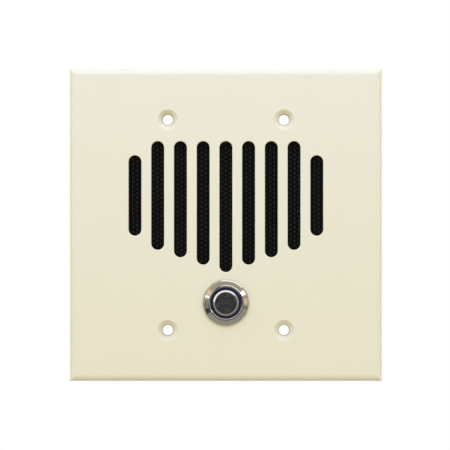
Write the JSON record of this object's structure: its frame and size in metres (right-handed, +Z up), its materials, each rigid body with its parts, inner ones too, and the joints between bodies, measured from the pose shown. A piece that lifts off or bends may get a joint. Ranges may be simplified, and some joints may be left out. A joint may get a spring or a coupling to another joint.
{
  "type": "wall intercom station",
  "caption": "Square flush wall intercom station with a slotted speaker grille and a ring-lit call button.",
  "frame": {"origin": "middle of the four screw holes, on the plane where the plate's back meets the wall", "axes": "+X to the right seen from the front, the face looks along -Y, +Y goes into the wall, +Z up"},
  "size_m": [0.1238, 0.0417, 0.1238],
  "materials": {
    "powder_coat": "ivory powder coat",
    "grille_cloth": "woven",
    "moulded_black": "moulded",
    "zinc_steel": "zinc plated",
    "basket_steel": "pressed and plated",
    "foam_black": "closed-cell foam",
    "rubber_black": "moulded",
    "cone_film": "pressed",
    "aluminium_foil": "rolled",
    "copper_winding": "enamelled wire",
    "spider_cloth": "resin-stiffened",
    "ferrite": "sintered",
    "tag_board": "laminated paper",
    "tinned_tag": "tinned",
    "capsule_metal": "drawn",
    "board_green": "solder mask",
    "terminal_green": "moulded",
    "capacitor_sleeve": "shrunk sleeve",
    "chip_black": "moulded",
    "resistor_lacquer": "lacquered",
    "socket_white": "moulded",
    "brass_contact": "stamped",
    "stainless": "turned and polished",
    "nickel_nut": "nickel plated",
    "light_ring": "tinted and translucent",
    "lamp_board": "solder mask",
    "lamp_resin": "moulded",
    "button_metal": "turned and polished",
    "plunger_plastic": "moulded",
    "spring_steel": "drawn wire",
    "switch_plastic": "moulded"
  },
  "bodies": {
    "station": {"face_plate": "powder_coat", "grille_cloth": "grille_cloth", "speaker_baffle": "moulded_black", "baffle_screws": "zinc_steel", "clip_screws": "zinc_steel", "board_screws": "zinc_steel", "speaker_clips": "zinc_steel", "speaker_gasket": "foam_black", "speaker_basket": "basket_steel", "speaker_surround": "rubber_black", "speaker_spider": "spider_cloth", "speaker_top_plate": "basket_steel", "speaker_magnet": "ferrite", "speaker_yoke": "basket_steel", "speaker_tag_board": "tag_board", "speaker_tags": "tinned_tag", "microphone_boot": "rubber_black", "microphone_capsule": "capsule_metal", "circuit_board": "board_green", "terminal_block": "terminal_green", "terminal_clamps": "tinned_tag", "terminal_screws": "zinc_steel", "large_capacitors": "capacitor_sleeve", "small_capacitors": "capacitor_sleeve", "amplifier_chip": "chip_black", "chip_legs": "tinned_tag", "resistors": "resistor_lacquer", "wire_sockets": "socket_white", "socket_pins": "brass_contact", "button_barrel": "stainless", "button_seal": "rubber_black", "button_lock_washer": "nickel_nut", "button_nut": "nickel_nut", "light_ring": "light_ring", "lamp_board": "lamp_board", "ring_lamps": "lamp_resin", "switch_housing": "switch_plastic", "switch_base": "switch_plastic", "fixed_contacts": "brass_contact", "lamp_pins": "tinned_tag", "button_spring": "spring_steel"},
    "call_button": {"button_cap": "button_metal", "button_plunger": "plunger_plastic", "contact_bridge": "brass_contact"},
    "cone_assembly": {"speaker_cone": "cone_film", "dust_cap": "cone_film", "coil_former": "aluminium_foil", "voice_coil": "copper_winding"}
  },
  "joints": [
    {"name": "button_press", "type": "slide", "parent": "station", "child": "call_button", "axis": [0, 1, 0], "range_m": [0, 0.0015], "stiffness_N_per_m": 2000, "deforming": ["button_spring"]},
    {"name": "cone_excursion", "type": "slide", "parent": "station", "child": "cone_assembly", "axis": [0, 1, 0], "range_m": [-0.0005, 0.0005], "stiffness_N_per_m": 2800, "deforming": ["speaker_surround", "speaker_spider"]}
  ]
}
